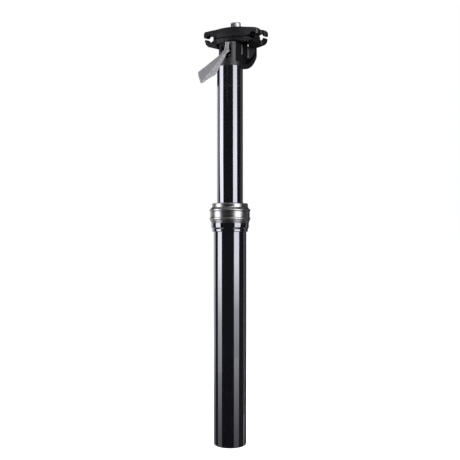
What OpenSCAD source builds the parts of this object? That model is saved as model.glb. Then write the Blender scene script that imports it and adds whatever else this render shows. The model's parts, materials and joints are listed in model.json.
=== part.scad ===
// Dropper seatpost with a hand lever under the saddle.
// All sizes are in millimetres. The origin is the centre of the lower end of the lower tube.
// +Z runs up the post, -Y is the front (lever side), +Y is the rear (set back), X is left to right.

/* [Lower tube] */
// Outside diameter of the lower tube, the bore of the frame
tube_d = 31.6; // [30.9:0.1:34.9]
// Wall of the lower tube
tube_wall = 1.9; // [1.7:0.1:2.1]
// Length of the lower tube
tube_len = 213; // [205:1:240]
// Width of the three keyways in the bore
keyway_w = 3.2; // [2.6:0.1:4]
// Depth of the keyways
keyway_depth = 0.8; // [0.7:0.1:1]
// Depth of the shoulder that the black ring sits on
shoulder = 0.4; // [0.3:0.1:0.5]
// Length of the sliding bush at the top of the lower tube
bush_len = 14; // [10:1:16]
// Height of the lower face of the bottom plug
plug_z = 10; // [9.5:0.5:12]
// Thickness of the bottom plug
plug_t = 10; // [8:0.5:12]

/* [Collar] */
// Height of the black ring that shows under the collar
ring_h = 7.6; // [6.4:0.1:9]
// How far the black ring stands out from the lower tube
ring_out = 2.45; // [2.3:0.05:3]
// How far the lower step of the black ring stands out
step_out = 1.5; // [1.2:0.05:1.8]
// How far the two beads of the collar stand out from the lower tube
bead_out = 3.95; // [3.6:0.05:5]
// How far the band between the beads stands out
band_out = 3.3; // [3.1:0.05:3.5]
// How far the cap ring stands out from the lower tube
cap_out = 1.5; // [1:0.05:2]
// Height of the collar above the lower tube
collar_h = 19; // [18:0.5:23]
// Height of the cap ring
cap_h = 5.6; // [5:0.1:7]
// Length of the thread under the collar
thread_h = 9; // [8:0.5:10]

/* [Stanchion] */
// Outside diameter of the upper tube
post_d = 25; // [24:0.1:25.6]
// Wall of the upper tube
post_wall = 1.75; // [1.5:0.05:2]
// How far the saddle drops
travel = 125; // [100:1:130]
// Upper tube still in view when fully dropped
post_left = 6.2; // [4:0.1:12]
// Room under the foot of the upper tube when fully dropped
foot_room = 5; // [4:0.5:6]
// Length of the sliding bush on the foot of the upper tube
foot_bush_len = 15; // [12:1:16]
// Length of the three keys
key_len = 10; // [6:1:12]

/* [Gas spring] */
// Diameter of the rod
rod_d = 8; // [7:0.5:9]
// Wall of the cylinder
cylinder_wall = 0.9; // [0.7:0.1:1.2]
// Height of the cylinder above the foot of the upper tube
cylinder_lift = 8; // [7:0.5:9]
// Thickness of the two retaining rings
clip_h = 1.4; // [1.2:0.1:1.6]
// Length of the gland
gland_len = 18; // [14:1:20]
// Length of the piston
piston_len = 12; // [10:1:14]
// Height of the ring seals
seal_h = 2.2; // [1.8:0.1:2.6]
// Room between the piston and the valve at full drop
end_gap = 3; // [2:0.5:4]
// Thickness of the flange on the valve body
valve_flange = 3; // [2:0.5:4]
// Diameter of the valve pin
valve_pin_d = 4; // [3:0.5:5]

/* [Head] */
// How much narrower the neck is than the stanchion, at the radius
neck_step = 0.9; // [0.6:0.1:1.4]
// Distance of the clamp bolt behind the post
setback = 18.6; // [16:0.2:19]
// Height of the saddle rails above the end of the stanchion
head_rise = 33; // [32.6:0.2:36]
// Width of the head at its rear
head_w = 31.2; // [29:0.2:33]
// Length of the head behind the post
head_rear = 40.5; // [37:0.5:42]
// Radius of the round underside
belly_r = 36.7; // [36:0.1:38]
// Length of the plug in the stanchion
spigot_len = 24; // [18:1:26]
// Height of the raised pads on the sides above the end of the stanchion
pad_rise = 14.3; // [13:0.1:15]
// Half the distance between the two sunk side faces
flank = 8.5; // [8:0.1:9]
// Radius of the round seat of the clamp
cradle_r = 14; // [13.5:0.1:14.4]
// Radius of the round face that the washer bears on
seat_r = 20; // [19:0.2:20.6]

/* [Lever] */
// Reach of the lever in front of the post
lever_reach = 75; // [70:0.2:84]
// Height of the lever tip below the pivot
lever_drop = 46; // [38:0.2:48]
// Width of the finger paddle
paddle_w = 12; // [9:0.2:13]
// Thickness of the paddle and of its side flange
lever_t = 2.4; // [2:0.1:2.8]
// Diameter of the pivot pin
pivot_d = 3.2; // [2.5:0.1:4]
// Width of the slot for the lever
slot_w = 10.4; // [9.6:0.1:11]

/* [Rail clamp] */
// Diameter of the saddle rails
rail_d = 7; // [6.8:0.1:7.4]
// Distance between the saddle rails
rail_spacing = 44; // [42:0.5:46]
// Length of the clamp along the rails
clamp_len = 34; // [32:0.5:35]
// Angle of the clamp, rear up
clamp_tilt = 8.5; // [5:0.5:9]
// Height of the upper jaw above the rail centres
jaw_top = 9.3; // [8:0.1:10]
// Radius of the crown of the upper jaw
crown_r = 127; // [110:1:140]
// Gap between the jaw lips
lip_gap = 1.8; // [1.4:0.1:2.6]
// Gap between the jaws at the bolt
jaw_gap = 0.8; // [0.6:0.1:1.2]
// Diameter of the clamp bolt
bolt_d = 8; // [7:0.5:8]
// Hex key for the clamp bolt
bolt_key = 6; // [5:1:6]
// Outside diameter of the round clamp nut
nut_d = 10; // [9.8:0.1:12]
// How far the nut stands above the upper jaw
nut_out = 5.9; // [4:0.1:8]

/* [Fits] */
// Running clearance at the radius between pieces that slide or turn
run_fit = 0.05; // [0.03:0.01:0.08]
// Free gap between pieces that never touch
free_gap = 0.4; // [0.35:0.05:0.6]

/* [Hidden] */
$fn = 96;
tube_r = tube_d / 2;
tube_ir = tube_r - tube_wall;
post_r = post_d / 2;
post_ir = post_r - post_wall;
rod_r = rod_d / 2;
cyl_r = post_ir - 0.35;
cyl_ir = cyl_r - cylinder_wall;
pin_r = valve_pin_d / 2;
seal_t = rod_r * 0.35;
neck_r = post_r - neck_step;
thread_r = tube_r + 1.6;
cap_ir = tube_r - 0.6;
groove_t = tube_r / 18;
oring_r = groove_t / 2 - 0.02;
// Heights along the post
plug_top = plug_z + plug_t;
ring_z = tube_len - 0.8 - ring_h;
nut_z = tube_len + 0.1;
thread_top = tube_len + thread_h;
oring_z = tube_len + thread_h * 2 / 3;
collar_top = tube_len + collar_h;
cap_z = collar_top - cap_h;
post_bottom = plug_top + foot_room + travel;
post_top = collar_top + travel + post_left;
key_z = (post_bottom + foot_bush_len + tube_len - bush_len - key_len) / 2;
cyl_bottom = post_bottom + cylinder_lift;
bumper_top = cyl_bottom - clip_h - travel - free_gap;
piston_z = cyl_bottom + gland_len + free_gap;
piston_top = piston_z + piston_len;
cyl_top = post_top - spigot_len - valve_flange;
valve_z = piston_top + travel + end_gap;
gland_seal_z = cyl_bottom + gland_len / 2 - seal_h / 2;
valve_seal_z = (valve_z + cyl_top - seal_h) / 2;
rail_z = post_top + head_rise;
head_top = rail_z - 10.2;
pad_step = 1;
pad_y = post_r - 3.5;
rear_pad_y = head_rear - 15.5;
belly_y = setback - 14.1;
belly_z = post_top - 0.5 + belly_r;
// Lever
pivot_y = -6.2;
pivot_z = head_top - 3.4;
hub_r = 3.8;
nose_z = pivot_z - 5.3;
pin_top = nose_z - free_gap;
slot_floor = nose_z - 7;
tip_z = pivot_z - lever_drop;
arm_right = 2.3;
arm_left = -1.3;
hub_right = 2.2;
bend_drop = 7.4;
// Clamp
rail_r = rail_d / 2;
rail_x = rail_spacing / 2;
jaw_x = rail_x + rail_r + 2.3;
jaw_y = clamp_len / 2;
mid_x = 16;
waist_x = rail_x + 1.6;
lip = lip_gap / 2;
bolt_r = bolt_d / 2;
nut_r = nut_d / 2;
washer_z = seat_r + 3.5;
bolt_head_r = bolt_r + 2.4;
cavity_x = bolt_head_r + 0.25;
drum_x = 7.4;

// Piece to show

// A plain ring between two radii
module ring(outer, inner, z, h) {
    translate([0, 0, z])
        difference() {
            cylinder(r = outer, h = h);
            translate([0, 0, -1]) cylinder(r = inner, h = h + 2);
        }
}

// A retaining ring with an opening
module circlip(outer, inner, z, h) {
    difference() {
        ring(outer, inner, z, h);
        translate([0, -3, z - 1]) cube([outer + 2, 6, h + 2]);
    }
}

// A side outline with Y across and Z up, given a width in X
module side_extrude(w) {
    rotate([90, 0, 90]) linear_extrude(height = w, center = true) children();
}

// Pieces of the clamp are drawn round the bolt axis, at the height of the rail centres
module on_clamp() {
    translate([0, setback, rail_z]) rotate([clamp_tilt, 0, 0]) children();
}

module outer_tube() {
    color("#15151a")
    difference() {
        union() {
            cylinder(r = tube_r, h = ring_z);
            cylinder(r = tube_r - shoulder, h = tube_len);
        }
        translate([0, 0, -1]) cylinder(r = tube_ir, h = tube_len + 2);
        for (a = [90, 210, 330])
            rotate([0, 0, a])
                translate([0, -keyway_w / 2, -1])
                    cube([tube_ir + keyway_depth, keyway_w, tube_len - bush_len]);
        translate([0, 0, plug_z - clip_h]) cylinder(r = tube_ir + 0.7, h = clip_h);
    }
}

module tube_head() {
    color("#17171b")
    difference() {
        rotate_extrude()
            polygon([
                [tube_r - shoulder, ring_z],
                [tube_r + step_out - 0.7, ring_z],
                [tube_r + step_out - 0.2, ring_z + 0.2],
                [tube_r + step_out, ring_z + 0.7],
                [tube_r + step_out, ring_z + 2.6],
                [tube_r + ring_out - 0.65, ring_z + 3.2],
                [tube_r + ring_out - 0.2, ring_z + 3.9],
                [tube_r + ring_out, ring_z + 4.7],
                [tube_r + ring_out, nut_z],
                [thread_r, nut_z],
                [thread_r, thread_top],
                [tube_r - shoulder, thread_top]
            ]);
        ring(thread_r + 1, thread_r - groove_t, oring_z - groove_t, 2 * groove_t);
    }
}

module collar_nut() {
    color("#4a4a4e")
    difference() {
        rotate_extrude()
            difference() {
                union() {
                    polygon([
                        [tube_r, nut_z],
                        [tube_r + ring_out, nut_z],
                        [tube_r + band_out, nut_z + 2.7],
                        [tube_r + band_out, cap_z],
                        [tube_r, cap_z]
                    ]);
                    translate([tube_r + bead_out - 1.6, nut_z + 4.2]) circle(r = 1.6);
                    translate([tube_r + bead_out - 1.6, cap_z - 1]) circle(r = 1.6);
                }
                translate([0, cap_z]) square([tube_r + 9, 5]);
            }
        translate([0, 0, nut_z - 1]) cylinder(r = thread_r, h = thread_top + 0.4 - nut_z + 1);
        translate([0, 0, nut_z]) cylinder(r = tube_r, h = collar_h);
    }
}

module wiper_cap() {
    color("#45454a")
    rotate_extrude()
        polygon([
            [cap_ir, thread_top + 1],
            [tube_r, thread_top + 1],
            [tube_r, cap_z],
            [tube_r + bead_out - 0.75, cap_z],
            [tube_r + cap_out + 0.8, cap_z + 1],
            [tube_r + cap_out + 0.15, cap_z + 1.8],
            [tube_r + cap_out, cap_z + 2.3],
            [tube_r + cap_out, collar_top - 0.7],
            [tube_r + cap_out - 0.25, collar_top - 0.2],
            [tube_r + cap_out - 0.8, collar_top],
            [cap_ir, collar_top]
        ]);
}

module wiper_seal() {
    color("#0e0e10")
    rotate_extrude()
        polygon([
            [post_r + run_fit, thread_top + 2],
            [cap_ir, thread_top + 2],
            [cap_ir, collar_top - 0.9],
            [post_r + 1.5, collar_top - 0.7],
            [post_r + 0.6, collar_top + 0.5],
            [post_r + run_fit, collar_top + 0.5]
        ]);
}

module collar_oring() {
    color("#0e0e10")
    rotate_extrude()
        translate([thread_r - oring_r, oring_z]) circle(r = oring_r);
}

module upper_bush() {
    color("#3a3a36")
    union() {
        ring(tube_ir, post_r + run_fit, tube_len - bush_len, bush_len + 0.5);
        ring(tube_r - shoulder - 0.3, post_r + run_fit, tube_len, 2);
    }
}

module bottom_plug() {
    color("#8d8f92")
    ring(tube_ir, rod_r - 1, plug_z, plug_t);
}

module plug_circlip() {
    color("#6a6c70")
    circlip(tube_ir + 0.6, tube_ir - 1.6, plug_z - clip_h + 0.1, clip_h - 0.1);
}

module gas_rod() {
    color("#c9cbce")
    union() {
        translate([0, 0, plug_top]) cylinder(r = rod_r, h = piston_top - plug_top);
        translate([0, 0, 2.4]) cylinder(r = rod_r - 1, h = plug_top - 2);
    }
}

module rod_washer() {
    color("#9a9c9f")
    ring(rod_r + 3, rod_r - 1, plug_z - 1.6, 1.6);
}

module rod_nut() {
    color("#9a9c9f")
    translate([0, 0, plug_z - 6.6])
        difference() {
            cylinder(r = rod_r + 1.8, h = 5, $fn = 6);
            translate([0, 0, -1]) cylinder(r = rod_r - 1, h = 7);
        }
}

module bottom_bumper() {
    color("#1a1a1a")
    ring(post_ir - 1.8, rod_r, plug_top, bumper_top - plug_top);
}

module gas_piston() {
    color("#a7a9ac")
    difference() {
        ring(cyl_ir - run_fit, rod_r, piston_z, piston_len);
        ring(cyl_ir + 1, cyl_ir - seal_t, piston_z + (piston_len - seal_h) / 2, seal_h);
    }
}

module piston_seal() {
    color("#121212")
    ring(cyl_ir - 0.02, cyl_ir - seal_t, piston_z + (piston_len - seal_h) / 2, seal_h);
}

module stanchion() {
    color("#101013")
    difference() {
        ring(post_r, post_ir, post_bottom, post_top - post_bottom);
        for (a = [90, 210, 330])
            rotate([0, 0, a])
                translate([post_r - 0.9, 0.1 - keyway_w / 2, key_z])
                    cube([4, keyway_w - 0.2, key_len]);
        translate([0, 0, cyl_bottom - clip_h]) cylinder(r = post_ir + 0.7, h = clip_h);
    }
}

module lower_bush() {
    color("#3a3a36")
    ring(tube_ir - run_fit, post_r, post_bottom, foot_bush_len);
}

module rotation_keys() {
    color("#b8924a")
    for (a = [90, 210, 330])
        rotate([0, 0, a])
            translate([post_r - 0.9, 0.1 - keyway_w / 2, key_z])
                cube([tube_ir + keyway_depth - 0.1 - post_r + 0.9, keyway_w - 0.2, key_len]);
}

module gas_cylinder() {
    color("#b4b6b9")
    ring(cyl_r, cyl_ir, cyl_bottom, cyl_top - cyl_bottom);
}

module rod_gland() {
    color("#8d8f92")
    difference() {
        ring(cyl_ir, rod_r + run_fit, cyl_bottom, gland_len);
        translate([0, 0, gland_seal_z]) cylinder(r = rod_r + seal_t, h = seal_h);
    }
}

module gland_seal() {
    color("#121212")
    ring(rod_r + seal_t, rod_r + 0.02, gland_seal_z, seal_h);
}

module cylinder_circlip() {
    color("#6a6c70")
    circlip(post_ir + 0.6, post_ir - 1.4, cyl_bottom - clip_h + 0.1, clip_h - 0.1);
}

module valve_body() {
    color("#8d8f92")
    difference() {
        union() {
            translate([0, 0, valve_z]) cylinder(r = cyl_ir, h = cyl_top - valve_z + 1);
            translate([0, 0, cyl_top]) cylinder(r = post_ir - 0.05, h = valve_flange);
        }
        translate([0, 0, valve_z + pin_r])
            cylinder(r = pin_r + run_fit, h = cyl_top - valve_z + valve_flange);
        ring(cyl_ir + 1, cyl_ir - seal_t, valve_seal_z, seal_h);
    }
}

module valve_oring() {
    color("#121212")
    ring(cyl_ir, cyl_ir - seal_t, valve_seal_z, seal_h);
}

module valve_pin() {
    color("#c9cbce")
    union() {
        translate([0, 0, valve_z + 2 * pin_r])
            cylinder(r = pin_r, h = pin_top - pin_r * 0.3 - valve_z - 2 * pin_r);
        translate([0, 0, pin_top - pin_r * 0.3])
            cylinder(r1 = pin_r, r2 = pin_r * 0.7, h = pin_r * 0.3);
    }
}

// Plan of the head behind the neck, wider to the rear
module head_plan() {
    w = head_w / 2;
    union() {
        circle(r = neck_r);
        polygon([
            [1 - neck_r, 0], [-w, head_rear - 5], [5 - w, head_rear],
            [w - 5, head_rear], [w, head_rear - 5], [neck_r - 1, 0]
        ]);
        translate([5 - w, head_rear - 5]) circle(r = 5);
        translate([w - 5, head_rear - 5]) circle(r = 5);
    }
}

// Side view of the head, with the round underside
module head_side() {
    intersection() {
        translate([belly_y, belly_z]) circle(r = belly_r);
        polygon([
            [-neck_r - 1, post_top], [2 * head_rear, post_top], [2 * head_rear, head_top + 3.4],
            [setback, head_top + 3.4], [2, head_top], [-neck_r - 1, head_top]
        ]);
    }
}

// Sunk side face with two raised pads, on the +X side
module side_pocket() {
    difference() {
        translate([flank + 10, 0, 0])
            side_extrude(20)
                union() {
                    intersection() {
                        translate([belly_y, belly_z]) circle(r = belly_r - 4.7);
                        translate([0, post_top]) square([2 * head_rear, head_rear]);
                    }
                    translate([-neck_r - 1, post_top + 4.2]) square([belly_y + neck_r + 1, head_rear]);
                }
        translate([0, 0, post_top + pad_rise])
            linear_extrude(height = 2 * head_rear)
                polygon([
                    [0, pad_y], [flank, pad_y], [flank + pad_step, pad_y + pad_step],
                    [flank + pad_step, rear_pad_y], [flank + 2 * pad_step, rear_pad_y + pad_step],
                    [head_w / 2 - 1, head_rear - 7], [head_w * 1.2, head_rear - 6],
                    [head_w * 1.2, 2 * head_rear], [0, 2 * head_rear]
                ]);
    }
}

module head() {
    color("#1d1d20")
    difference() {
        union() {
            intersection() {
                translate([0, 0, post_top - 1]) linear_extrude(height = 60) head_plan();
                side_extrude(60) head_side();
            }
            translate([0, 0, post_top]) cylinder(r = neck_r, h = head_top - post_top);
            translate([0, 0, post_top - spigot_len]) cylinder(r = post_ir, h = spigot_len + 1);
        }
        // Round seat for the lower jaw
        translate([-drum_x - run_fit, setback, rail_z])
            rotate([0, 90, 0]) cylinder(r = cradle_r + run_fit, h = 2 * (drum_x + run_fit));
        // Sunk sides
        side_pocket();
        mirror([1, 0, 0]) side_pocket();
        // Slot for the lever, open at the front and the top
        translate([-slot_w / 2, -neck_r - 2, slot_floor]) cube([slot_w, neck_r + 5.2, 40]);
        // Pivot pin and valve pin
        translate([-30, pivot_y, pivot_z]) rotate([0, 90, 0]) cylinder(d = pivot_d, h = 60);
        translate([0, 0, post_top - spigot_len - 1]) cylinder(r = pin_r + 0.3, h = spigot_len + head_rise);
        // Room for the bolt head and its washer, open below behind the stanchion
        difference() {
            union() {
                translate([-cavity_x, post_r + 0.3, post_top - 5]) cube([2 * cavity_x, 40, 60]);
                translate([-cavity_x, setback - 7.9, post_top + 2.4]) cube([2 * cavity_x, 20, 60]);
            }
            translate([-30, setback, rail_z]) rotate([0, 90, 0]) cylinder(r = seat_r, h = 60);
            translate([-30, setback + 15.6, post_top + 10]) cube([60, 60, 60]);
        }
        // Slot for the bolt, long enough for the tilt
        on_clamp()
            translate([-bolt_r - 0.6, -bolt_r - 3.8, -seat_r - 3])
                cube([bolt_d + 1.2, bolt_d + 7.6, seat_r]);
    }
}

module lever_pin() {
    color("#3a3b40")
    translate([-flank, pivot_y, pivot_z]) rotate([0, 90, 0]) cylinder(d = pivot_d, h = 2 * flank);
}

module lever_spacers() {
    color("#141414")
    for (span = [[-slot_w / 2, arm_left - 0.1], [hub_right + 0.1, slot_w / 2]])
        translate([span[0], pivot_y, pivot_z])
            rotate([0, 90, 0])
                difference() {
                    cylinder(r = hub_r - 1.2, h = span[1] - span[0]);
                    translate([0, 0, -1]) cylinder(d = pivot_d, h = 20);
                }
}

// Line of the upper edge of the lever, from the bend to the tip
function crease(f) = [-17.4 + f * (17.4 - lever_reach), pivot_z - bend_drop + f * (bend_drop - lever_drop)];

// Outline of the paddle seen from above
module paddle_plan() {
    r = paddle_w / 2;
    a = [arm_right - r, 19.3 - lever_reach];
    b = [arm_right - 1.4, 1.4 - lever_reach];
    d = b - a;
    turn = atan2(d[1], d[0]) - acos((r - 1.4) / norm(d));
    n = [cos(turn), sin(turn)];
    union() {
        polygon([
            [hub_right, -10], [arm_right, -18], [arm_right, b[1]], b + 1.4 * n, a + r * n,
            [a[0] - r, a[1] + 0.5], [arm_left, -25], [arm_left, -10]
        ]);
        translate(a) circle(r = r);
        translate(b) circle(r = 1.4);
    }
}

module lever() {
    color("#a9abae")
    difference() {
        union() {
            // Hub, arm and nose over the valve pin
            translate([arm_left, pivot_y, pivot_z])
                rotate([0, 90, 0]) cylinder(r = hub_r, h = hub_right - arm_left);
            translate([(hub_right + arm_left) / 2, 0, 0])
                side_extrude(hub_right - arm_left)
                    polygon([
                        [pivot_y, pivot_z + hub_r],
                        [pivot_y - 2.6, pivot_z + 3.7],
                        [pivot_y - 3.4, pivot_z + 3],
                        [pivot_y - 4.3, pivot_z + 0.2],
                        [pivot_y - 5.2, pivot_z - 2],
                        [pivot_y - 6.4, pivot_z - 3.9],
                        [pivot_y - 7.6, pivot_z - 5.2],
                        [pivot_y - 9.4, pivot_z - 6.3],
                        crease(0),
                        crease(0.1),
                        crease(0.1) - [0, lever_t * 1.2],
                        crease(0) - [0, lever_t * 1.2],
                        [pivot_y - 5, pivot_z - 6.9],
                        [pivot_y - 1, nose_z],
                        [1.8, nose_z],
                        [2.2, nose_z + 0.6],
                        [2.2, nose_z + 2.6]
                    ]);
            // Finger paddle
            intersection() {
                translate([0, 0, tip_z - 20]) linear_extrude(height = lever_drop + 40) paddle_plan();
                side_extrude(60)
                    polygon([
                        crease(0), crease(0.45) - [0, 0.7], crease(0.65) - [0, 1], crease(1.02),
                        crease(1.02) - [0, lever_t], crease(0.65) - [0, 1 + lever_t],
                        crease(0.45) - [0, 0.7 + lever_t], crease(0) - [0, lever_t * 1.2]
                    ]);
            }
            // Side flange, deepest under the middle
            intersection() {
                translate([0, 0, tip_z - 20]) linear_extrude(height = lever_drop + 40) paddle_plan();
                translate([arm_right - lever_t / 2, 0, 0])
                    side_extrude(lever_t)
                        polygon([
                            crease(0), crease(0.45) - [0, 0.7], crease(0.65) - [0, 1], crease(1.02),
                            crease(1.02) - [0, lever_t], crease(0.79) - [0, 5],
                            crease(0.64) - [0, 7.2], crease(0.46) - [0, 9.8],
                            crease(0.31) - [0, 7.6], crease(0) - [0, 4]
                        ]);
            }
        }
        translate([-20, pivot_y, pivot_z])
            rotate([0, 90, 0]) cylinder(r = pivot_d / 2 + run_fit, h = 40);
    }
}

// Half of the outline of the lugs, from the front to the rear
function lugs(s) = [
    [s * 12, 3.9 - jaw_y], [s * (jaw_x - 1.2), -jaw_y - 1], [s * jaw_x, -jaw_y],
    [s * jaw_x, 8.4 - jaw_y], [s * (jaw_x - 0.8), 9.6 - jaw_y],
    [s * (waist_x + 0.6), 10 - jaw_y], [s * waist_x, 10.8 - jaw_y],
    [s * waist_x, jaw_y - 10.8], [s * (waist_x + 0.6), jaw_y - 10],
    [s * (jaw_x - 0.8), jaw_y - 9.6], [s * jaw_x, jaw_y - 8.4],
    [s * jaw_x, jaw_y], [s * (jaw_x - 1.2), jaw_y + 1], [s * 12, jaw_y - 3.9]
];

// Plan of both jaws: a round-fronted middle and four lugs
module jaw_plan() {
    left = lugs(-1);
    union() {
        intersection() {
            square([2 * mid_x, clamp_len + 8], center = true);
            translate([0, 46 - jaw_y]) circle(r = 46);
            translate([0, jaw_y - 46]) circle(r = 46);
        }
        polygon(concat(lugs(1), [for (i = [len(left) - 1 : -1 : 0]) left[i]]));
    }
}

// A front outline with X across and Z up, run along the rails
module rail_extrude() {
    rotate([90, 0, 0]) linear_extrude(height = clamp_len + 10, center = true) children();
}

module rail_grooves() {
    for (s = [-1, 1])
        translate([s * rail_x, clamp_len, 0])
            rotate([90, 0, 0]) cylinder(r = rail_r, h = 2 * clamp_len);
}

module lower_clamp() {
    color("#19191c")
    on_clamp()
        difference() {
            union() {
                intersection() {
                    translate([0, 0, -20]) linear_extrude(height = 20) jaw_plan();
                    side_extrude(3 * jaw_x)
                        polygon([
                            [-jaw_y - 2, 0], [-jaw_y - 1, -1.4], [5.2 - jaw_y, -10],
                            [jaw_y - 5.2, -10], [jaw_y + 1, -1.4], [jaw_y + 2, 0]
                        ]);
                    rail_extrude()
                        polygon([
                            [-mid_x + 1, -jaw_gap / 2], [mid_x - 1, -jaw_gap / 2],
                            [mid_x + 0.6, -lip], [jaw_x - 1.6, -lip],
                            [jaw_x - 0.9, -lip - 0.8], [jaw_x - 0.9, -5],
                            [jaw_x - 2.6, -7.3], [rail_x - 2, -8.9],
                            [mid_x + 0.2, -9.9], [mid_x + 0.2, -5],
                            [-mid_x - 0.2, -5], [-mid_x - 0.2, -9.9],
                            [2 - rail_x, -8.9], [2.6 - jaw_x, -7.3],
                            [0.9 - jaw_x, -5], [0.9 - jaw_x, -lip - 0.8],
                            [1.6 - jaw_x, -lip], [-mid_x - 0.6, -lip]
                        ]);
                }
                intersection() {
                    translate([-drum_x, 0, 0]) rotate([0, 90, 0]) cylinder(r = cradle_r, h = 2 * drum_x);
                    translate([-20, -20, -20]) cube([40, 40, 20 - jaw_gap / 2]);
                }
            }
            rail_grooves();
            translate([0, 0, -30]) cylinder(r = bolt_r + free_gap, h = 40);
        }
}

module bolt_washer() {
    color("#9a9c9f")
    on_clamp()
        difference() {
            translate([-bolt_head_r, -bolt_head_r, -washer_z])
                cube([2 * bolt_head_r, 2 * bolt_head_r, 8]);
            translate([-20, 0, 0]) rotate([0, 90, 0]) cylinder(r = seat_r + run_fit, h = 40);
            translate([0, 0, -40]) cylinder(r = bolt_r + free_gap, h = 40);
        }
}

module upper_clamp() {
    color("#1b1b1e")
    on_clamp()
        difference() {
            intersection() {
                linear_extrude(height = 20) jaw_plan();
                rail_extrude()
                    intersection() {
                        polygon([
                            [mid_x - 1, jaw_gap / 2], [1 - mid_x, jaw_gap / 2],
                            [-mid_x - 0.6, lip], [0.5 - jaw_x, lip],
                            [-jaw_x, lip + 0.6], [-jaw_x, jaw_top - 4.6],
                            [1.4 - jaw_x, jaw_top - 3], [1.4 - jaw_x, jaw_top + 1],
                            [jaw_x - 1.4, jaw_top + 1], [jaw_x - 1.4, jaw_top - 3],
                            [jaw_x, jaw_top - 4.6], [jaw_x, lip + 0.6],
                            [jaw_x - 0.5, lip], [mid_x + 0.6, lip]
                        ]);
                        translate([0, jaw_top - crown_r]) circle(r = crown_r, $fn = 720);
                    }
            }
            rail_grooves();
            translate([0, 0, -1]) cylinder(r = nut_r, h = 20);
            translate([0, 0, jaw_top - 4]) cylinder(r = nut_r + 2.4, h = 20);
        }
}

module clamp_nut() {
    color("#c4c6c9")
    on_clamp()
        difference() {
            union() {
                translate([0, 0, 1.4]) cylinder(r = nut_r, h = jaw_top + nut_out - 0.7 - 1.4);
                translate([0, 0, jaw_top + nut_out - 0.7]) cylinder(r1 = nut_r, r2 = nut_r - 0.7, h = 0.7);
                translate([0, 0, jaw_top - 4]) cylinder(r = nut_r + 2.3, h = 2.7);
            }
            translate([0, 0, -1]) cylinder(r = bolt_r + run_fit, h = 40);
        }
}

module clamp_bolt() {
    color("#b9bbbe")
    on_clamp()
        difference() {
            union() {
                translate([0, 0, -washer_z - 5]) cylinder(r = bolt_head_r, h = 5);
                translate([0, 0, -washer_z - 0.5])
                    cylinder(r = bolt_r, h = washer_z + jaw_top + nut_out - 1.5);
            }
            translate([0, 0, -washer_z - bolt_key])
                cylinder(d = bolt_key / cos(30), h = bolt_key * 0.7, $fn = 6);
        }
}

outer_tube();
tube_head();
collar_nut();
wiper_cap();
wiper_seal();
collar_oring();
upper_bush();
bottom_plug();
plug_circlip();
gas_rod();
rod_washer();
rod_nut();
bottom_bumper();
gas_piston();
piston_seal();
stanchion();
head();
lower_bush();
rotation_keys();
gas_cylinder();
rod_gland();
gland_seal();
cylinder_circlip();
valve_body();
valve_oring();
lever_pin();
lever_spacers();
valve_pin();
lever();
lower_clamp();
bolt_washer();
upper_clamp();
clamp_nut();
clamp_bolt();
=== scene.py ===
# %% [markdown]
# # Dressing a dropper seatpost
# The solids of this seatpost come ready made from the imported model: two black tubes, a gunmetal
# collar, a forged head, a rail clamp and a silver lever. This lesson gives them their finishes,
# sets up a small studio round them and points a camera from about where the photographer stood.
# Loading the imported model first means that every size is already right, and nothing is fitted by
# eye.

# %% Load the frame
import json
import math

import bmesh
import bpy
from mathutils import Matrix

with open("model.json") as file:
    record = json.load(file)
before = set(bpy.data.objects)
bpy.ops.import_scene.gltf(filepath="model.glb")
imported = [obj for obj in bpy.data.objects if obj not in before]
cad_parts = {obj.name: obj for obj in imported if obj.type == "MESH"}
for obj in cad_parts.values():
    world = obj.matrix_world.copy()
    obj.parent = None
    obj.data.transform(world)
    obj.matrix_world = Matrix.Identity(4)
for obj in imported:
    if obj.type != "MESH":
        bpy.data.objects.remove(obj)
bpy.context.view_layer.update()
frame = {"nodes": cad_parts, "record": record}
nodes = frame["nodes"]

# %% [markdown]
# ## Camera
# The upright tubes stay parallel in the photograph, so the camera looked level and the picture
# was cropped round the post. A level camera with a little shift gives the same. In the
# photograph the eye was about 40 mm higher. Here it is level with the collar, so that the shift
# stays small, because every other view keeps it. The camera stands 20 degrees to the right of
# the lever.

# %% Camera
CAMERA_TURN = math.radians(20)
CAMERA_AWAY = 0.670
CAMERA_HEIGHT = 0.2121
LENS_MM = 54.2
SENSOR_MM = 36
PICTURE_PX = 460
SHIFT_PX = -6

camera_data = bpy.data.cameras.new("camera")
camera_data.lens = LENS_MM
camera_data.sensor_width = SENSOR_MM
camera_data.shift_y = SHIFT_PX / PICTURE_PX
camera = bpy.data.objects.new("camera", camera_data)
camera.location = (
    CAMERA_AWAY * math.sin(CAMERA_TURN),
    -CAMERA_AWAY * math.cos(CAMERA_TURN),
    CAMERA_HEIGHT,
)
camera.rotation_euler = (math.radians(90), 0, CAMERA_TURN)
bpy.context.collection.objects.link(camera)
bpy.context.scene.camera = camera
bpy.context.scene.view_settings.view_transform = "Standard"
print("camera at", [round(v, 3) for v in camera.location])

# %% [markdown]
# ## Three helpers for finishes
# Colours are easiest to read off a picture as sRGB hex values, but shaders work in linear light,
# so one function turns them over. A second one adds a shader node with its settings, values and
# links, and a third starts a finish with the values given for its shader.

# %% Helpers
def linear(hex_colour):
    parts = [int(hex_colour[i : i + 2], 16) / 255 for i in (1, 3, 5)]
    light = [c / 12.92 if c <= 0.04045 else ((c + 0.055) / 1.055) ** 2.4 for c in parts]
    return (*light, 1)


def add_node(tree, kind, settings=None, values=None, links=None):
    node = tree.nodes.new(kind)
    for key, value in (settings or {}).items():
        setattr(node, key, value)
    for key, value in (values or {}).items():
        node.inputs[key].default_value = value
    for key, socket in (links or {}).items():
        tree.links.new(socket, node.inputs[key])
    return node


def new_finish(name, **sockets):
    material = bpy.data.materials.new(name)
    material.use_nodes = True
    shader = material.node_tree.nodes["Principled BSDF"]
    for key, value in sockets.items():
        shader.inputs[key.replace("_", " ")].default_value = value
    return material, material.node_tree, shader


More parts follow.
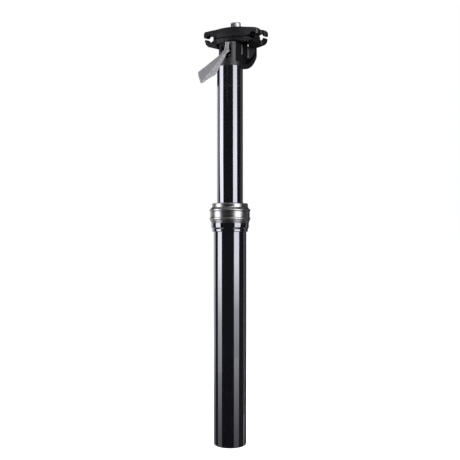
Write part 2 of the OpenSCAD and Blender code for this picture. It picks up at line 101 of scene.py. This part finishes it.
print("black is", [round(c, 4) for c in linear("#0a0a0c")[:3]])

# %% [markdown]
# ## Floor and surround
# The photograph has a plain white ground with nothing else in view. A white floor that also
# glows a little towards the camera stays white out to the horizon and still takes the shadow of
# the post. The world is white to the camera and to mirror-like rays, and a dim fill to
# everything else. All sheets of the studio are built in a frame that faces the camera, then
# turned with it.

# %% Floor and world
WHITE = (1, 1, 1, 1)
BLACK = (0, 0, 0, 1)
FLOOR_REACH = 8
FLOOR_HEIGHT = -0.0004
FLOOR_GLOW = 0.8
FILL = 0.3


def sheet(name, rows, steps=24):
    # Each row has a radius and a height in metres, and the two angles that it spans, in degrees
    # from the camera round to the right.
    mesh = bpy.data.meshes.new(name)
    shape = bmesh.new()
    lines = []
    for radius, height, start, end in rows:
        line = []
        for i in range(steps + 1):
            turn = math.radians(start + (end - start) * i / steps)
            place = (radius * math.sin(turn), -radius * math.cos(turn), height)
            line.append(shape.verts.new(place))
        lines.append(line)
    for low, high in zip(lines, lines[1:]):
        for i in range(steps):
            shape.faces.new((low[i], low[i + 1], high[i + 1], high[i]))
    shape.to_mesh(mesh)
    shape.free()
    thing = bpy.data.objects.new(name, mesh)
    thing.rotation_euler = (0, 0, CAMERA_TURN)
    bpy.context.collection.objects.link(thing)
    return thing


def seen_rays(tree):
    # One for rays that show the ground itself or its mirror image, and zero for rays that light.
    path = add_node(tree, "ShaderNodeLightPath")
    either = add_node(
        tree,
        "ShaderNodeMath",
        {"operation": "MAXIMUM"},
        links={0: path.outputs["Is Camera Ray"], 1: path.outputs["Is Glossy Ray"]},
    )
    return add_node(
        tree,
        "ShaderNodeMath",
        {"operation": "MAXIMUM"},
        links={0: either.outputs[0], 1: path.outputs["Is Transmission Ray"]},
    )


floor_paper, tree, shader = new_finish(
    "white_floor_paper",
    Base_Color=linear("#e6e6e6"),
    Roughness=0.9,
    Specular_IOR_Level=0,
    Emission_Color=WHITE,
)
glow = add_node(
    tree,
    "ShaderNodeMath",
    {"operation": "MULTIPLY"},
    {1: FLOOR_GLOW},
    {0: seen_rays(tree).outputs[0]},
)
tree.links.new(glow.outputs[0], shader.inputs["Emission Strength"])
floor = sheet("floor", [(0, FLOOR_HEIGHT, 0, 360), (FLOOR_REACH, FLOOR_HEIGHT, 0, 360)], 48)
floor.data.materials.append(floor_paper)

world = bpy.data.worlds.new("white_surround")
bpy.context.scene.world = world
world.use_nodes = True
tree = world.node_tree
back = tree.nodes["Background"]
back.inputs["Color"].default_value = WHITE
level = add_node(
    tree,
    "ShaderNodeMapRange",
    values={"To Min": FILL, "To Max": 1},
    links={"Value": seen_rays(tree).outputs[0]},
)
tree.links.new(level.outputs[0], back.inputs["Strength"])
print("floor and world, fill", FILL)

# %% [markdown]
# ## Softboxes
# Glossy black tubes show almost nothing but what stands round them. In the photograph each tube
# has two bright stripes, from a tall softbox at the left and another at the front right, and is
# dark between them. A stripe at a known place on a round tube tells where its light stands,
# because the ray turns by twice the slope of the surface. Both stripes fade down the lower tube,
# so the panels get dimmer towards the floor. The left one narrows there too. A third panel, high
# up at the right, lights the sloped faces of the head and the jaws.

# %% Softboxes
LIGHT_TINT = linear("#f2f3ff")
# The angles from which each stripe gets its light at the floor
LEFT_STRIPE = (-92, -59)
RIGHT_STRIPE = (28, 65)
LEFT_AWAY = 0.34
RIGHT_AWAY = 0.46
# Share of the full light at the foot of a panel, at heights in metres, and at one metre
FOOT_SHARE = 0.22
SHARE_AT_HEIGHT = ((0.074, 0.36), (0.154, 0.8), (0.324, 1), (0.474, 0.82))
TOP_SHARE = 0.6
# Where a panel's front and rear shares hold, in metres behind the axis
FRONT_DEPTH = -0.15
REAR_DEPTH = 0.12


def softbox(name, rows, strength, rear_share):
    panel = sheet(name, rows, 8)
    cloth, tree, shader = new_finish(
        name + "_cloth",
        Base_Color=BLACK,
        Roughness=1,
        Emission_Color=LIGHT_TINT,
    )
    place = add_node(tree, "ShaderNodeTexCoord")
    split = add_node(tree, "ShaderNodeSeparateXYZ", links={0: place.outputs["Object"]})
    height = add_node(tree, "ShaderNodeValToRGB", links={"Fac": split.outputs["Z"]})
    stops = height.color_ramp.elements
    stops[0].color = (FOOT_SHARE, FOOT_SHARE, FOOT_SHARE, 1)
    stops[1].color = (TOP_SHARE, TOP_SHARE, TOP_SHARE, 1)
    for metres, share in SHARE_AT_HEIGHT:
        stops.new(metres).color = (share, share, share, 1)
    depth = add_node(
        tree,
        "ShaderNodeMapRange",
        values={
            "From Min": FRONT_DEPTH,
            "From Max": REAR_DEPTH,
            "To Min": strength,
            "To Max": strength * rear_share,
        },
        links={"Value": split.outputs["Y"]},
    )
    light = add_node(
        tree,
        "ShaderNodeMath",
        {"operation": "MULTIPLY"},
        links={0: height.outputs["Color"], 1: depth.outputs[0]},
    )
    tree.links.new(light.outputs[0], shader.inputs["Emission Strength"])
    panel.data.materials.append(cloth)
    panel.visible_camera = False
    panel.visible_shadow = False
    print(name, "strength", strength)


softbox(
    "left_softbox",
    [
        (LEFT_AWAY, 0, *LEFT_STRIPE),
        (LEFT_AWAY, 0.208, -93, -59),
        (LEFT_AWAY, 0.308, -102, -63),
        (LEFT_AWAY, 0.55, -102, -63),
    ],
    strength=10,
    rear_share=0.65,
)
softbox(
    "right_softbox",
    [
        (RIGHT_AWAY, 0, *RIGHT_STRIPE),
        (RIGHT_AWAY, 0.2, *RIGHT_STRIPE),
        (RIGHT_AWAY, 0.8, 26, 62),
    ],
    strength=8.6,
    rear_share=1,
)
softbox("upper_softbox", [(0.9, 0.72, 5, 45), (0.8, 1.2, 5, 45)], strength=8, rear_share=1)

# %% [markdown]
# ## Cards
# Cards that only show in reflections keep the rest dark, as they do in a real studio. A tall one
# stands far off in front, a ring and a ceiling hang above the head, and one with a paler edge
# stands close behind the post. A black flag also stops light, and keeps the left softbox off the
# jaws. On the floor the cards fan out from the foot of the tube along the mirrored rays, so the
# stripes stay straight down to the floor. The two gaps hold strips of pale paper.

# %% Cards
# Distances from the axis and heights, in metres
FOOT = 0.0162
REAR_AWAY = 0.12
WALL = 1.6
TABLE = 0.0002
HEAD_FOOT = 0.386
REAR_TOP = 0.6
WALL_TOP = 0.66
CEILING = 1.3
# Angles at which the wide cards end, in degrees
LEFT_END = -122
RIGHT_END = 113
REAR_START = 120
REAR_END = 205
# Floor cards that fade do so between these distances
FADE_START = 0.03
FADE_END = 0.545


def card(name, rows, level, far_level=None, stops_light=False):
    panel = sheet(name, rows)
    cloth, tree, shader = new_finish(
        name + "_paper",
        Base_Color=BLACK,
        Roughness=1,
        Specular_IOR_Level=0,
        Emission_Color=LIGHT_TINT,
        Emission_Strength=level,
    )
    if far_level:
        place = add_node(tree, "ShaderNodeTexCoord")
        away = add_node(
            tree,
            "ShaderNodeVectorMath",
            {"operation": "LENGTH"},
            links={0: place.outputs["Object"]},
        )
        fade = add_node(
            tree,
            "ShaderNodeMapRange",
            values={
                "From Min": FADE_START,
                "From Max": FADE_END,
                "To Min": level,
                "To Max": far_level,
            },
            links={"Value": away.outputs["Value"]},
        )
        tree.links.new(fade.outputs[0], shader.inputs["Emission Strength"])
    panel.data.materials.append(cloth)
    panel.visible_camera = False
    panel.visible_diffuse = False
    panel.visible_transmission = False
    panel.visible_shadow = stops_light
    print(name, "level", level)


def upright(away, low, high, start, end):
    return [(away, low, start, end), (away, high, start, end)]


def fan(start, end, reach=WALL):
    # A ray that leaves a round tube in one direction starts at half that angle on the tube.
    return [(FOOT, TABLE, start / 2, end / 2), (reach, TABLE, start, end)]


card("front_card", upright(WALL, 0, WALL_TOP, LEFT_END, RIGHT_END), 0.03)
card("upper_ring", upright(WALL, WALL_TOP, CEILING, -180, 180), 0.05)
card("ceiling", [(0, CEILING, -180, 180), (WALL, CEILING, -180, 180)], 0.55)
card("rear_card_edge", upright(REAR_AWAY, 0, HEAD_FOOT, 108, REAR_START), 0.45)
card("rear_card", upright(REAR_AWAY, 0, REAR_TOP, REAR_START, REAR_END), 0.06)
card("head_card", upright(REAR_AWAY, HEAD_FOOT, REAR_TOP, 95, REAR_START), 0.03)
card("left_flag", upright(0.08, 0.384, 0.45, -130, -50), 0.02, stops_light=True)
card("table_left", fan(LEFT_END, LEFT_STRIPE[0]), 0.05)
card("table_front", fan(LEFT_STRIPE[1], RIGHT_STRIPE[0]), 0.03)
card("table_right", fan(RIGHT_STRIPE[1], RIGHT_END), 0.06)
card("table_rear", fan(RIGHT_END, REAR_END, REAR_AWAY), 0.1)
card("table_rear_left", fan(-165, LEFT_END), 0.35, 1)
card("left_floor_strip", fan(*LEFT_STRIPE), 0.65, 2.6)
card("right_floor_strip", fan(*RIGHT_STRIPE), 0.65, 2.8)

# %% [markdown]
# ## Three helpers for surfaces
# Hardly any surface has one even colour and gloss. Noise with a grain of known size in
# millimetres stands for streaks, blasting and handling, and noise that follows the height and
# the distance from an axis stands for lathe marks. A third function lets a noise change gloss,
# colour and relief.

# %% Surface helpers
MM = 0.001
BOLT_AXIS_MM = 18.6
BUMP_STRENGTH = 0.3
# The middle range of a noise, where nearly all its values lie
NOISE_LOW = 0.3
NOISE_HIGH = 0.7


def stretched_noise(tree, size_mm, detail=3):
    # The three sizes are the grain along X, Y and Z.
    place = add_node(tree, "ShaderNodeTexCoord")
    stretch = add_node(
        tree,
        "ShaderNodeMapping",
        values={"Scale": [1 / (s * MM) for s in size_mm]},
        links={"Vector": place.outputs["Object"]},
    )
    return add_node(
        tree,
        "ShaderNodeTexNoise",
        values={"Scale": 1, "Detail": detail, "Roughness": 0.6},
        links={"Vector": stretch.outputs[0]},
    )


def turned_rings(tree, pitch_mm, axis_y_mm=0):
    place = add_node(tree, "ShaderNodeTexCoord")
    split = add_node(tree, "ShaderNodeSeparateXYZ", links={0: place.outputs["Object"]})
    flat = add_node(
        tree,
        "ShaderNodeCombineXYZ",
        links={"X": split.outputs["X"], "Y": split.outputs["Y"]},
    )
    away = add_node(
        tree,
        "ShaderNodeVectorMath",
        {"operation": "DISTANCE"},
        {1: (0, axis_y_mm * MM, 0)},
        {0: flat.outputs[0]},
    )
    ring = add_node(
        tree,
        "ShaderNodeCombineXYZ",
        links={"X": away.outputs["Value"], "Z": split.outputs["Z"]},
    )
    return add_node(
        tree,
        "ShaderNodeTexNoise",
        values={"Scale": 1 / (pitch_mm * MM), "Detail": 2},
        links={"Vector": ring.outputs[0]},
    )


def let_vary(tree, shader, noise, gloss=None, tones=None, relief_mm=None):
    value = noise.outputs["Fac"]
    if gloss:
        spread = add_node(
            tree,
            "ShaderNodeMapRange",
            values={
                "From Min": NOISE_LOW,
                "From Max": NOISE_HIGH,
                "To Min": gloss[0],
                "To Max": gloss[1],
            },
            links={"Value": value},
        )
        tree.links.new(spread.outputs[0], shader.inputs["Roughness"])
    if tones:
        tone = add_node(
            tree,
            "ShaderNodeMix",
            {"data_type": "RGBA"},
            {"A": linear(tones[0]), "B": linear(tones[1])},
            {"Factor": value},
        )
        tree.links.new(tone.outputs["Result"], shader.inputs["Base Color"])
    if relief_mm:
        rise = add_node(
            tree,
            "ShaderNodeBump",
            values={"Strength": BUMP_STRENGTH, "Distance": relief_mm * MM},
            links={"Height": value},
        )
        tree.links.new(rise.outputs[0], shader.inputs["Normal"])


print("surface helpers ready")

# %% [markdown]
# ## Gloss black tubes
# Both tubes are drawn aluminium, polished and anodised black, then sealed: a deep black under a
# hard clear skin. Most of what the eye gets is the sharp mirror image in the skin. Drawing
# leaves very fine streaks along the tube, which only show as a slight change of gloss, so the
# noise is stretched along Z and its relief is a few thousandths of a millimetre.

# %% Gloss black anodised tube
black_tube, tree, shader = new_finish(
    "gloss_black_anodised_tube",
    IOR=1.65,
    Coat_Weight=1.0,
    Coat_Roughness=0.02,
)
streaks = stretched_noise(tree, (0.35, 0.35, 40))
let_vary(tree, shader, streaks, gloss=(0.04, 0.09), relief_mm=0.003)
let_vary(tree, shader, stretched_noise(tree, (9, 9, 30)), tones=("#07070a", "#0c0c0e"))
print("finish", black_tube.name)

# %% [markdown]
# ## Gunmetal collar
# The collar and its cap are turned on a lathe and anodised a dark grey that still reads as bare
# metal. The lathe leaves rings round the post's own axis.

# %% Gunmetal anodised collar
gunmetal, tree, shader = new_finish("gunmetal_anodised_collar", Metallic=1.0)
let_vary(tree, shader, turned_rings(tree, 0.35), gloss=(0.23, 0.33), relief_mm=0.01)
let_vary(tree, shader, stretched_noise(tree, (6, 6, 3)), tones=("#716f6c", "#7f7d79"))
print("finish", gunmetal.name)

# %% [markdown]
# ## Satin black forgings
# Head and jaws are forged aluminium, blasted with fine grit and anodised black. The grit leaves
# a soft, even grain that spreads the light, so faces that meet the softboxes go dark grey and
# the rest stays nearly black.

# %% Satin black blasted forging
forging, tree, shader = new_finish(
    "satin_black_blasted_forging",
    Metallic=1.0,
    Specular_Tint=(0.6, 0.6, 0.6, 1),
)
# Real blasting grain is about 0.1 mm, drawn here at 0.4 mm so that it shows.
grain = stretched_noise(tree, (0.4, 0.4, 0.4))
let_vary(tree, shader, grain, gloss=(0.42, 0.54), relief_mm=0.02)
let_vary(tree, shader, stretched_noise(tree, (7, 7, 7)), tones=("#302f2f", "#383636"))
print("finish", forging.name)

# %% [markdown]
# ## Satin silver lever
# The lever is pressed from aluminium, tumbled and clear anodised. Tumbling leaves a fine matt
# skin with no direction that scatters light much as paint does, so it is drawn without a mirror.
# The studio is bright, so a mid grey skin comes out as light as the lever in the photograph.

# %% Satin silver tumbled aluminium
silver, tree, shader = new_finish("satin_silver_tumbled_aluminium", IOR=1.4)
let_vary(tree, shader, stretched_noise(tree, (0.5, 0.5, 0.5)), gloss=(0.5, 0.62))
let_vary(tree, shader, stretched_noise(tree, (5, 12, 5)), tones=("#737170", "#7d7b79"))
print("finish", silver.name)

# %% [markdown]
# ## Turned steel
# Nut, bolt, washers, pins and the gas spring's rod are bright turned steel, with coarser lathe
# rings round the axis of the clamp bolt.

# %% Bright turned steel
bright_steel, tree, shader = new_finish("bright_turned_steel", Metallic=1.0)
let_vary(tree, shader, turned_rings(tree, 0.45, BOLT_AXIS_MM), gloss=(0.46, 0.6), relief_mm=0.012)
let_vary(tree, shader, stretched_noise(tree, (3, 3, 1)), tones=("#a6a6a5", "#b2b2b0"))
print("finish", bright_steel.name)

# %% [markdown]
# ## Inside pieces
# Plain turned aluminium, blued spring steel, brass, bearing plastic and seal rubber only show at
# the ends and when a piece is taken out, yet each still gets its own grain and gloss.

# %% Plain turned aluminium
plain_aluminium, tree, shader = new_finish("plain_turned_aluminium", Metallic=1.0)
let_vary(tree, shader, turned_rings(tree, 0.5), gloss=(0.28, 0.42), relief_mm=0.02)
let_vary(tree, shader, stretched_noise(tree, (4, 4, 4)), tones=("#c0c2c4", "#cccdcf"))
print("finish", plain_aluminium.name)

# %% Blued spring steel
spring_steel, tree, shader = new_finish("blued_spring_steel", Metallic=1.0)
clouds = stretched_noise(tree, (2, 2, 2))
let_vary(tree, shader, clouds, gloss=(0.3, 0.42), tones=("#4a4b52", "#62636a"))
print("finish", spring_steel.name)

# %% Plain milled brass
brass, tree, shader = new_finish("plain_milled_brass", Metallic=1.0)
let_vary(tree, shader, stretched_noise(tree, (0.4, 0.4, 4)), gloss=(0.24, 0.4), relief_mm=0.01)
let_vary(tree, shader, stretched_noise(tree, (3, 3, 3)), tones=("#bf9a52", "#cfab66"))
print("finish", brass.name)

# %% Black bearing plastic
bearing_plastic, tree, shader = new_finish("black_bearing_plastic", IOR=1.46)
let_vary(tree, shader, stretched_noise(tree, (0.3, 0.3, 0.3)), gloss=(0.48, 0.64), relief_mm=0.01)
let_vary(tree, shader, stretched_noise(tree, (4, 4, 4)), tones=("#171716", "#1f1f1d"))
print("finish", bearing_plastic.name)

# %% Black seal rubber
rubber, tree, shader = new_finish("black_seal_rubber", IOR=1.5)
grain = stretched_noise(tree, (0.25, 0.25, 0.25))
let_vary(tree, shader, grain, gloss=(0.6, 0.8), relief_mm=0.03)
let_vary(tree, shader, stretched_noise(tree, (5, 5, 5)), tones=("#0f0f10", "#161617"))
print("finish", rubber.name)

# %% [markdown]
# ## Giving each node its finish
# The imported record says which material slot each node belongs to, so a small table from slot to
# finish dresses all of them. The nodes keep their own meshes: only the material changes.

# %% Finishes to nodes
FINISH_OF_SLOT = {
    "gloss_black_tube": black_tube,
    "gunmetal_collar": gunmetal,
    "satin_black_forging": forging,
    "silver_lever": silver,
    "plain_aluminium": plain_aluminium,
    "bright_steel": bright_steel,
    "spring_steel": spring_steel,
    "key_brass": brass,
    "bush_plastic": bearing_plastic,
    "black_rubber": rubber,
}
slot_of_node = {s["node"]: s["material_slot"] for s in frame["record"]["subparts"]}
for name, thing in nodes.items():
    thing.data.materials.clear()
    thing.data.materials.append(FINISH_OF_SLOT[slot_of_node[name]])
print("dressed", len(nodes), "nodes")

# %% [markdown]
# ## End
# The last cell only prints a closing line.

# %% End
print("scene done")
